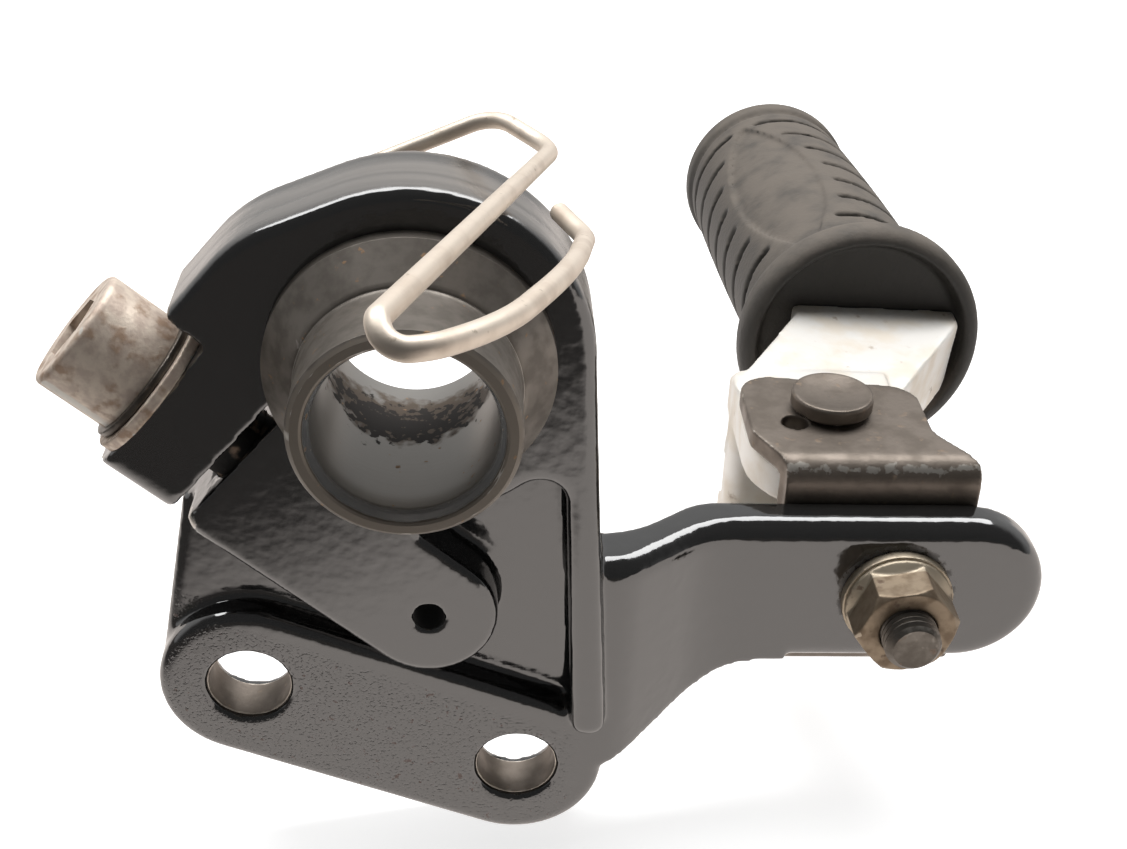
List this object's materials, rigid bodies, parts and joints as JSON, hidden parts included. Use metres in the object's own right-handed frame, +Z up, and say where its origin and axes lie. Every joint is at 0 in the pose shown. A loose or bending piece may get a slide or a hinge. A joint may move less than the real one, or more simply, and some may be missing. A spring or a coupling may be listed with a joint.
{
  "type": "motorcycle footrest hanger",
  "caption": "Black cast footrest hanger: split clamp ring with a flanged bush, pinch bolt and wire guide, and a cranked arm carrying a folding rubber footrest in a clevis.",
  "frame": {"origin": "on the bush axis, at the front face of the clamp ring where the bush flange seats", "axes": "+X from the bush to the footrest arm, +Y from the front face toward the far end of the footrest, +Z up from the arm to the bush, along the pivot pin"},
  "size_m": [0.1412, 0.2261, 0.1187],
  "materials": {
    "black_paint": "gloss black paint",
    "oiled_steel": "dark oiled steel, rust specks",
    "worn_steel": "patinated steel, rust stains",
    "spring_wire": "satin plated wire",
    "dark_oxide": "dark brown oxide, satin",
    "brown_plate": "aged brown plating",
    "bare_steel": "bright plated steel",
    "black_rubber": "matt rubber"
  },
  "bodies": {
    "hanger": {"hanger_casting": "black_paint", "bush": "oiled_steel", "pinch_bolt": "worn_steel", "pinch_flat_washer": "worn_steel", "pinch_lock_washer": "worn_steel", "wire_guide": "spring_wire", "clevis": "dark_oxide", "clevis_bolt": "worn_steel", "nut_washer": "brown_plate", "flange_nut": "brown_plate", "pivot_pin": "dark_oxide", "pin_washer": "worn_steel", "split_pin": "worn_steel"},
    "footrest": {"peg_base": "bare_steel", "peg_rubber": "black_rubber", "detent_ball": "bare_steel", "detent_spring": "worn_steel"}
  },
  "joints": [
    {"name": "peg_fold", "type": "hinge", "parent": "hanger", "child": "footrest", "pos_m": [0.0608, 0.035, -0.0439], "axis": [0, 0, 1], "range_deg": [0, 90]}
  ]
}
